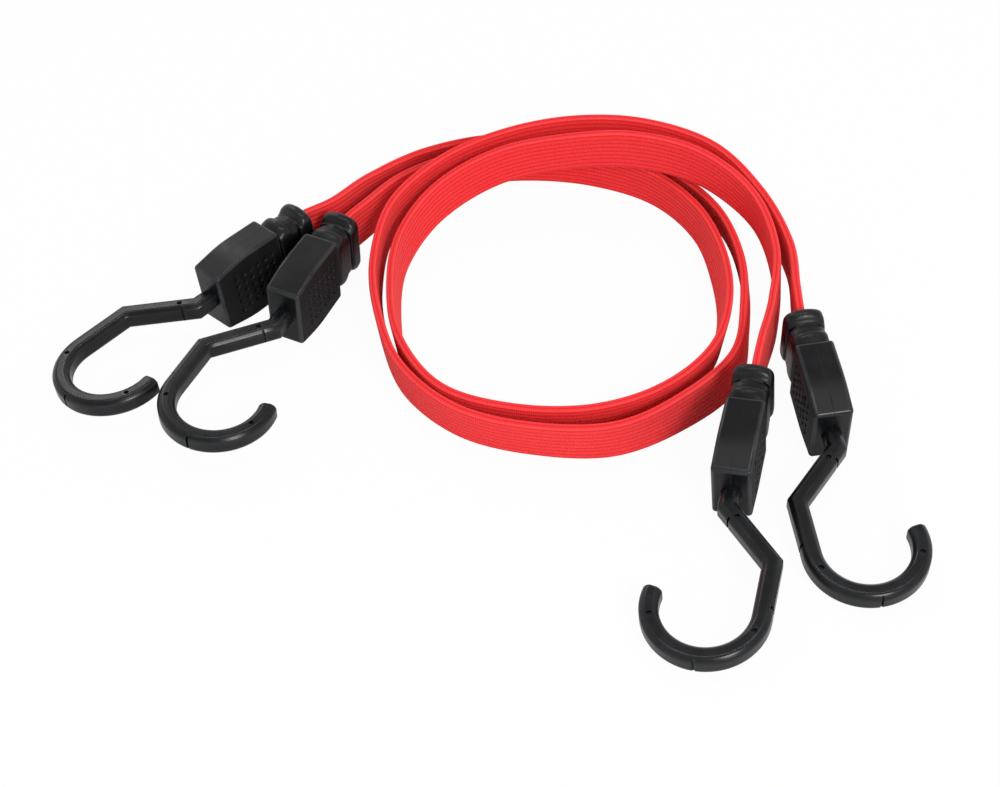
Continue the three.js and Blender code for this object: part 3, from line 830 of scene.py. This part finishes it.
for name, matrix in matrices.items():
    for half, mesh in shells.items():
        place_piece(
            f"{name}_shell_{half}", mesh, matrix, "straps_and_housings",
            f"{name}_housing_half_{half}", housing_plastic)
print("placed", len(matrices) * len(shells), "shells")

# %% [markdown]
# The boot is a rubber sleeve that keeps the strap from folding where it leaves the
# housing. Two ribs run round it with a groove between them. On its broad sides the ribs
# are flat plates with a narrow gap; at its edges they are rounded rolls with a wide gap.
# So the ribs have two profiles, one for the broad side and one for the edge, and each
# section's outline swings from the one to the other. A row of the profile is a share of
# the sleeve's length, of the rise on the broad side, and of the rise at the edge. The hole
# through the boot is part of the same loft.

# %% Rubber boots
flange_start = 24.9
flange_bevel = 0.2
flange_end = 27.1
flange_half_y = 4.8
flange_half_z = 11.4
sleeve_start = 30.3
sleeve_length = 15.9
tongue_half_y = 3.6
tongue_half_z = 10.2
hole_half_y = 1.8
hole_half_z = 9.3
hole_corner = 0.5
mouth_flare = 1.06
mouth_bevel = 0.5
groove_half_y = 5.8
groove_half_z = 11.0
rib_rise_y = 1.2
rib_rise_z = 1.9
rib_profile = np.array([
    (0, -0.33, 0.1), (0.025, 0.45, 0.2), (0.05, 0.62, 0.28), (0.09, 0.67, 0.47),
    (0.14, 0.68, 0.7), (0.19, 0.68, 0.86), (0.24, 0.68, 0.93), (0.29, 0.68, 0.88),
    (0.34, 0.67, 0.66), (0.37, 0.67, 0.25), (0.39, 0.67, -0.1), (0.46, 0.66, -0.2),
    (0.525, 0.62, -0.2), (0.548, 0.4, -0.2), (0.556, -0.3, -0.2), (0.606, -0.3, -0.2),
    (0.614, 0.6, -0.2), (0.635, 0.92, -0.2), (0.67, 0.99, -0.1), (0.7, 1, 0.35),
    (0.74, 1, 0.78), (0.79, 1, 0.98), (0.84, 1, 1.02), (0.89, 1, 0.97),
    (0.93, 0.92, 0.82), (0.965, 0.55, 0.5), (0.985, 0.0, 0.15), (1, -0.83, -0.2),
])
boot_sides = 72


def boot_outline(half_y, half_z):
    """A rib's outline: flat broad sides, arched edges with a faint seam at their middle."""
    corners = [(1, 0.0), (1, 0.55), (0.99, 0.68), (0.92, 0.81), (0.78, 0.895), (0.6, 0.945),
               (0.4, 0.978), (0.2, 0.995), (0.03, 1.0), (0.0, 1.007)]
    quarter = [(y * half_y, z * half_z) for y, z in corners]
    back = [(-y, z) for y, z in reversed(quarter[:-1])]
    half = quarter + back
    whole = half + [(-y, -z) for y, z in half[1:-1]]
    return walk(np.array(whole), boot_sides)[0]


def boot_mesh():
    """The loft from the flange over the ribs to the mouth, and back through the hole."""
    hole = walk(rounded_rectangle(hole_half_y, hole_half_z, hole_corner), boot_sides)[0]
    flange = boot_outline(flange_half_y, flange_half_z)
    tongue = boot_outline(tongue_half_y, tongue_half_z)
    stations = [
        (flange_start, hole), (flange_start + flange_bevel, flange), (flange_end, flange),
        (flange_end, tongue), (sleeve_start, tongue),
    ]
    for along, broad, edge in rib_profile:
        half_y = groove_half_y + broad * rib_rise_y
        half_z = groove_half_z + edge * rib_rise_z
        stations.append((sleeve_start + along * sleeve_length, boot_outline(half_y, half_z)))
    mouth = sleeve_start + sleeve_length
    stations += [
        (mouth, hole * mouth_flare), (mouth - mouth_bevel, hole), (flange_start, hole)]
    points = [(-reach, y, z) for reach, ring in stations for y, z in ring]
    open_faces = loft_faces(len(stations), boot_sides)[:-2]
    mesh = new_mesh("boot", points, open_faces)
    work = bmesh.new()
    work.from_mesh(mesh)
    bmesh.ops.remove_doubles(work, verts=work.verts, dist=MM / 1000)
    bmesh.ops.recalc_face_normals(work, faces=work.faces)
    work.to_mesh(mesh)
    work.free()
    finish_mesh(mesh, crease=50)
    return mesh


boot = boot_mesh()
for name, matrix in matrices.items():
    place_piece(
        f"{name}_rubber_boot", boot, matrix, "straps_and_housings",
        f"{name}_strap_boot", boot_rubber)
print("boot:", len(boot.polygons), "faces")

# %% [markdown]
# The hook is a steel wire with a moulded cover. Its arm has eight sides: it leaves the
# housing round, bends out, bends back, and runs into the bowl. The cover is a loft of an
# eight-sided section whose corners are slightly round, with sharp mitres at the two bends.
# Its middle line is a list of stations, each a place, a heading and how far the section is
# stretched across a mitre.

# %% The hook's line and section
arm_half_across = 3.15
arm_half_high = 3.7
arm_chamfer = 1.5
neck_bend = 6.7
kink_reach = 25.5
bowl_reach = 45.7
bowl_radius = 17.6
slant = atan2(-bowl_radius, kink_reach - neck_bend)
hook_sides = 48


def eight_sided(round_off, share=1.0):
    """The arm's section, with its corners rounded off by this radius."""
    across, high = share * arm_half_across, share * arm_half_high
    chamfer = share * arm_chamfer
    corners = np.array([
        (across, chamfer - high), (across, high - chamfer), (across - chamfer, high),
        (chamfer - across, high), (-across, high - chamfer), (-across, chamfer - high),
        (chamfer - across, -high), (across - chamfer, -high),
    ])
    first, *others = [
        soft_corner(before, here, after, round_off, steps=5)
        for before, here, after in zip(np.roll(corners, 1, 0), corners, np.roll(corners, -1, 0))
    ]
    points = [(across, 0.0), *(point for corner in others for point in corner), *first]
    return walk(np.array(points), hook_sides)[0]


def circle(radius):
    """A round section with as many points as the eight-sided one."""
    angles = around(hook_sides)
    return np.stack([radius * np.cos(angles), radius * np.sin(angles)], axis=1)


def bowl_station(angle):
    """A station on the bowl, at this angle from its far side."""
    x = bowl_reach + bowl_radius * cos(angle)
    return (x, bowl_radius * sin(angle), angle + pi / 2, 1.0)


def hook_line(start, end_angle, step):
    """Stations along the hook's middle line: place, heading, and the mitre's stretch."""
    stretch = 1 / cos(slant / 2)
    stations = [
        (start, 0.0, 0.0, 1.0), (neck_bend, 0.0, slant / 2, stretch),
        (kink_reach, -bowl_radius, slant / 2, stretch),
    ]
    count = round((end_angle + pi / 2) / step)
    return stations + [bowl_station(a) for a in np.linspace(-pi / 2, end_angle, count + 1)]


def ring_at(station, outline):
    """The outline's points, laid square to the hook's middle line at a station."""
    x, y, heading, stretch = station
    return [
        (x - sin(heading) * a * stretch, y + cos(heading) * a * stretch, up)
        for a, up in outline
    ]


def along_arm(first, second, share):
    """A station part of the way along a straight arm, square to it."""
    x = first[0] + share * (second[0] - first[0])
    y = first[1] + share * (second[1] - first[1])
    return (x, y, atan2(second[1] - first[1], second[0] - first[0]), 1.0)

# %% [markdown]
# A moulded hook keeps small traces of its mould: round holes where pins held the wire in
# the middle of the cover, and narrow notches across its flanks where the slides met. Both
# are shapes to cut with. A row of the pin's profile is a height over the hook's face and a
# radius.

# %% Pin holes and notches
pin_reach = 10.9
pin_angles = (-68, 70)
pin_sides = 16
pin_profile = ((0.4, 1.05), (0.0, 0.95), (-0.12, 0.85), (-0.9, 0.7))
arm_notch_share = 0.185
last_notch_reach = 42.8
notch_depth = 1.0
notch_half_width = 0.45
notch_overshoot = 0.2


def pin_holes():
    """Holes that the mould's pins left: one on the arm and two on the bowl, on both faces."""
    places = [(pin_reach, (pin_reach - neck_bend) * tan(slant))]
    places += [bowl_station(radians(angle))[:2] for angle in pin_angles]
    holes = []
    for x, y in places:
        for side in (-1, 1):
            points = []
            for height, radius in pin_profile:
                z = side * (arm_half_high + height)
                points += [
                    (x + radius * cos(a), y + radius * sin(a), z) for a in around(pin_sides)]
            holes.append((points, loft_faces(len(pin_profile), pin_sides)))
    return holes


def flank_notches():
    """Narrow slots across the hook's flanks, where the mould's slides met."""
    arm = along_arm((neck_bend, 0), (kink_reach, -bowl_radius), arm_notch_share)
    before_bowl = (last_notch_reach, -bowl_radius, 0.0, 1.0)
    high = arm_half_high + notch_overshoot
    notches = []
    for (x, y, heading, _), side in ((arm, 1), (bowl_station(0.0), -1), (before_bowl, -1)):
        ahead = np.array((cos(heading), sin(heading)))
        aside = side * np.array((-sin(heading), cos(heading)))
        points = [
            (*(np.array((x, y)) + depth * aside + along * ahead), z)
            for depth in (arm_half_across - notch_depth, arm_half_across + notch_depth)
            for along in (-notch_half_width, notch_half_width) for z in (-high, high)
        ]
        notches.append((points, box_faces))
    return notches


print("cut in each hook:", len(pin_holes()), "pin holes,", len(flank_notches()), "notches")

# %% [markdown]
# The cover is one loft with the wire's bore in it: its rings come out through the bore
# first, and then run from the neck along the outside to the tip, which is domed by a few
# shrinking rings. A row of the tip's profile is a distance past the bowl's end and a share
# of the section.

# %% Hook covers
neck_radius = 3.3
bore_radius = 1.9
tip_angle = radians(101)
arm_corner = 0.25
bowl_corner = 0.5
tip_corner = 0.7
tip_profile = ((0.45, 0.97), (0.8, 0.9), (1.1, 0.78), (1.25, 0.6), (1.3, 0.3))
bowl_step = radians(4)
bore_step = radians(12)


def cover_mesh():
    """The hook's cover, from the neck to the tip, with the bore in it."""
    neck, bend, kink, *bowl = hook_line(-neck_depth, tip_angle, bowl_step)
    sharp, soft = eight_sided(arm_corner), eight_sided(bowl_corner)
    outside = [
        ring_at(neck, circle(neck_radius)),
        ring_at(along_arm(neck, bend, 0.41), circle(neck_radius)),
        ring_at(along_arm(neck, bend, 0.45), 0.5 * circle(neck_radius) + 0.48 * sharp),
        ring_at(along_arm(neck, bend, 0.52), 0.97 * sharp),
        ring_at(along_arm(neck, bend, 0.82), sharp),
        ring_at(bend, sharp),
        ring_at(along_arm(bend, kink, 0.14), sharp),
        ring_at(along_arm(bend, kink, 0.5), sharp),
        ring_at(along_arm(bend, kink, 0.86), sharp),
        ring_at(kink, sharp),
        ring_at(along_arm(kink, bowl[0], 0.14), sharp),
        ring_at(along_arm(kink, bowl[0], 0.6), 0.6 * sharp + 0.4 * soft),
    ]
    outside += [ring_at(station, soft) for station in bowl]
    tip = bowl[-1]
    for along, share in tip_profile:
        end = (tip[0] + along * cos(tip[2]), tip[1] + along * sin(tip[2]), tip[2], 1.0)
        outside.append(ring_at(end, eight_sided(tip_corner * share, share)))
    bore_line = hook_line(-neck_depth, pi / 2, bore_step)
    bore = [ring_at(station, circle(bore_radius)) for station in reversed(bore_line)]
    rings = bore + outside
    points = [point for ring in rings for point in ring]
    mesh = new_mesh("hook_cover", points, loft_faces(len(rings), hook_sides))
    return cut(mesh, *pin_holes(), *flank_notches())


cover = cover_mesh()
finish_mesh(cover, crease=38)
for name, matrix in matrices.items():
    place_piece(
        f"{name}_moulded_hook", cover, matrix, f"{name}_hook",
        f"{name}_hook_cover", hook_plastic, turn=fittings[name]["turn"])
print("hook cover:", len(cover.polygons), "faces")

# %% [markdown]
# The floor is a pale table. The camera sees it close to pure white, and a small share of
# its true shading is left in, so that a faint shadow still ties the pair to the table. The
# gloss of the plastics sees more of that shading.

# %% Table
white = (1, 1, 1, 1)
table_half = 3.0
seen_white = 0.96
mirrored_white = 0.35

table = new_object("table", bpy.data.meshes.new("table"))
corners = [(-1, -1), (1, -1), (1, 1), (-1, 1)]
table.data.from_pydata(
    [(table_half * x, table_half * y, 0) for x, y in corners], [], [(0, 1, 2, 3)])
table_finish, table_shader, pen = new_finish(
    "white_table", Roughness=0.9, Base_Color=(0.8, 0.8, 0.8, 1))
camera_ray = pen.node("ShaderNodeLightPath", output="Is Camera Ray")
glossy = camera_ray.beside("Is Glossy Ray")
through = camera_ray.beside("Is Transmission Ray")
seen = seen_white * pen.math("MAXIMUM", camera_ray, through)
whiteness = pen.math("MAXIMUM", seen, mirrored_white * glossy)
glow = pen.node("ShaderNodeEmission", None, {"Color": white, "Strength": 1.0})
shown = Signal(pen.tree, table_shader.outputs[0])
both = pen.node("ShaderNodeMixShader", None, {0: whiteness, 1: shown, 2: glow})
output = table_finish.node_tree.nodes["Material Output"]
table_finish.node_tree.links.new(both.socket, output.inputs["Surface"])
table.data.materials.append(table_finish)
print("table:", 2 * table_half, "m wide")

# %% [markdown]
# The world is a studio: white walls at eye level, and a dimmer ceiling, which the black top
# faces mirror. Three lamps face the coil: a key from the front right, a narrow strip above
# it, and a weaker one from behind on the left, for the rims.

# %% World and lamps
ceiling_dimming = 0.5
ceiling_starts = 0.22
ceiling_full = 0.65

world = bpy.data.worlds.new("studio")
world.use_nodes = True
bpy.context.scene.world = world
backdrop = world.node_tree.nodes["Background"]
backdrop.inputs["Color"].default_value = white
pen = Signal(world.node_tree, None)
direction = pen.node("ShaderNodeTexCoord", output="Generated")
upward = pen.node("ShaderNodeSeparateXYZ", None, {0: direction}).beside(2)
feed(backdrop, Strength=1 - ceiling_dimming * upward.between(ceiling_starts, ceiling_full))


def soft_lamp(name, place, width, height, power):
    """A softbox or a strip lamp that faces the coil."""
    data = bpy.data.lights.new(name, "AREA")
    data.shape = "RECTANGLE"
    data.size = width
    data.size_y = height
    data.energy = power
    lamp = new_object(name, data)
    lamp.location = place
    lamp.rotation_euler = (camera_target - lamp.location).to_track_quat("-Z", "Y").to_euler()


soft_lamp("key_softbox", Vector((0.5, -1.0, 0.9)), width=0.4, height=0.4, power=11.5)
soft_lamp("top_strip", Vector((0.0, 0.15, 1.25)), width=1.0, height=0.06, power=3.0)
soft_lamp("left_softbox", Vector((-0.6, 1.1, 1.0)), width=0.4, height=0.3, power=2.3)
print("lamps:", [lamp.name for lamp in bpy.data.lights])
